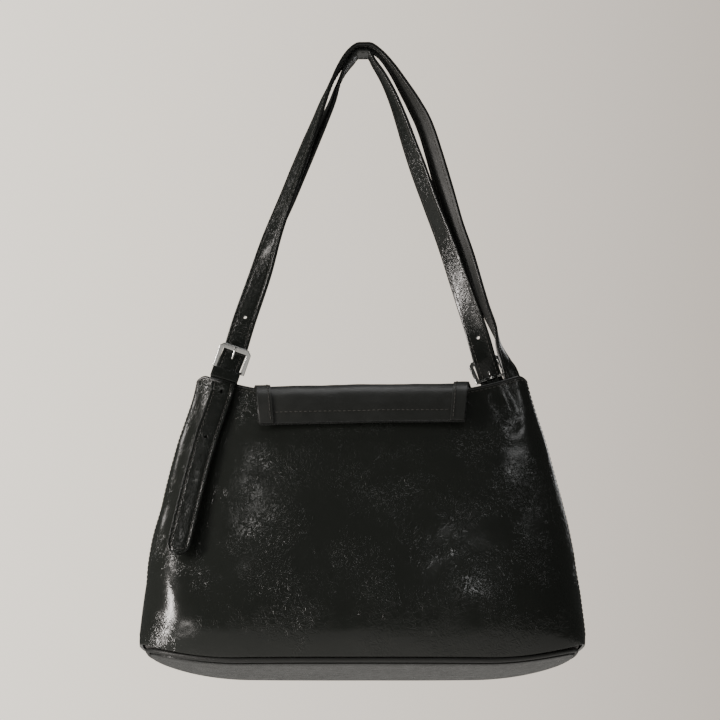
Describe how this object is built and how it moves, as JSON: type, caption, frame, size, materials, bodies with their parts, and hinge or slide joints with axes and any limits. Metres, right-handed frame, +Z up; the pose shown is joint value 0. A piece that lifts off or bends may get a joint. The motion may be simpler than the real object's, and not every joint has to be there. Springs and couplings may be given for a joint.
{
  "type": "satchel bag",
  "caption": "Leather shoulder bag with a boat-shaped base, short magnetic top flap and paired buckled straps with hanging tails.",
  "frame": {"origin": "middle of the base, at the lowest point of the bag", "axes": "+Z up through the strap crowns, -Y towards the front with the flap's free edge, +X to the right seen from the front"},
  "size_m": [0.3292, 0.1198, 0.4966],
  "materials": {
    "glazed_leather": "glazed, fine crinkled grain",
    "matte_leather": "smooth matte flesh-side facing",
    "lining_fabric": "fine twill",
    "board": "matte fibre board",
    "polished_steel": "polished",
    "zip_metal": "satin"
  },
  "bodies": {
    "bag": {"front_panel": "glazed_leather", "back_panel": "glazed_leather", "front_facing": "matte_leather", "back_facing": "matte_leather", "base_panel": "glazed_leather", "bottom_piping": "matte_leather", "base_board": "board", "lining": "lining_fabric", "zip_pocket_panel": "lining_fabric", "zip_tape": "lining_fabric", "zip_teeth": "zip_metal", "slip_pocket": "lining_fabric", "flap_seam_strip": "glazed_leather", "front_magnet": "polished_steel", "front_strap_lap": "glazed_leather", "front_strap_sewn_end": "glazed_leather", "front_tab": "glazed_leather", "front_buckle_frame": "polished_steel", "front_keeper": "glazed_leather", "back_strap_lap": "glazed_leather", "back_strap_sewn_end": "glazed_leather", "back_tab": "glazed_leather", "back_buckle_frame": "polished_steel", "back_keeper": "glazed_leather"},
    "flap": {"flap_outer": "glazed_leather", "flap_lining": "matte_leather", "flap_band_right": "glazed_leather", "flap_band_left": "glazed_leather", "flap_magnet": "polished_steel"},
    "front_strap": {"front_strap": "glazed_leather"},
    "back_strap": {"back_strap": "glazed_leather"},
    "front_tail": {"front_strap_tail": "glazed_leather"},
    "back_tail": {"back_strap_tail": "glazed_leather"},
    "front_prong": {"front_buckle_prong": "polished_steel"},
    "back_prong": {"back_buckle_prong": "polished_steel"},
    "zip_slider": {"zip_slider": "polished_steel"},
    "zip_pull": {"zip_pull": "polished_steel"}
  },
  "joints": [
    {"name": "flap_open", "type": "hinge", "parent": "bag", "child": "flap", "pos_m": [0, 0.0305, 0.206], "axis": [-1, 0, 0], "range_deg": [0, 180]},
    {"name": "front_strap_fold", "type": "hinge", "parent": "bag", "child": "front_strap", "pos_m": [-0.0949, -0.0143, 0.2484], "axis": [0.9957, 0.039, -0.0837], "range_deg": [0, 85]},
    {"name": "back_strap_fold", "type": "hinge", "parent": "bag", "child": "back_strap", "pos_m": [0.0934, 0.0143, 0.2484], "axis": [-0.9954, -0.0403, -0.0867], "range_deg": [0, 85]},
    {"name": "front_tail_lift", "type": "hinge", "parent": "bag", "child": "front_tail", "pos_m": [-0.1048, -0.0187, 0.2172], "axis": [-1, 0, 0], "range_deg": [0, 30]},
    {"name": "back_tail_lift", "type": "hinge", "parent": "bag", "child": "back_tail", "pos_m": [0.1033, 0.0187, 0.2172], "axis": [1, 0, 0], "range_deg": [0, 30]},
    {"name": "front_prong_tilt", "type": "hinge", "parent": "bag", "child": "front_prong", "pos_m": [-0.1012, -0.0135, 0.2285], "axis": [0.9397, 0, -0.342], "range_deg": [0, 6]},
    {"name": "back_prong_tilt", "type": "hinge", "parent": "bag", "child": "back_prong", "pos_m": [0.0997, 0.0135, 0.2285], "axis": [-0.9397, 0, -0.342], "range_deg": [0, 6]},
    {"name": "zip_slide", "type": "slide", "parent": "bag", "child": "zip_slider", "axis": [-1, 0, 0], "range_m": [0, 0.1]},
    {"name": "zip_pull_swing", "type": "hinge", "parent": "zip_slider", "child": "zip_pull", "pos_m": [0.05, 0.01987, 0.16619], "axis": [-1, 0, 0], "range_deg": [0, 150]}
  ]
}
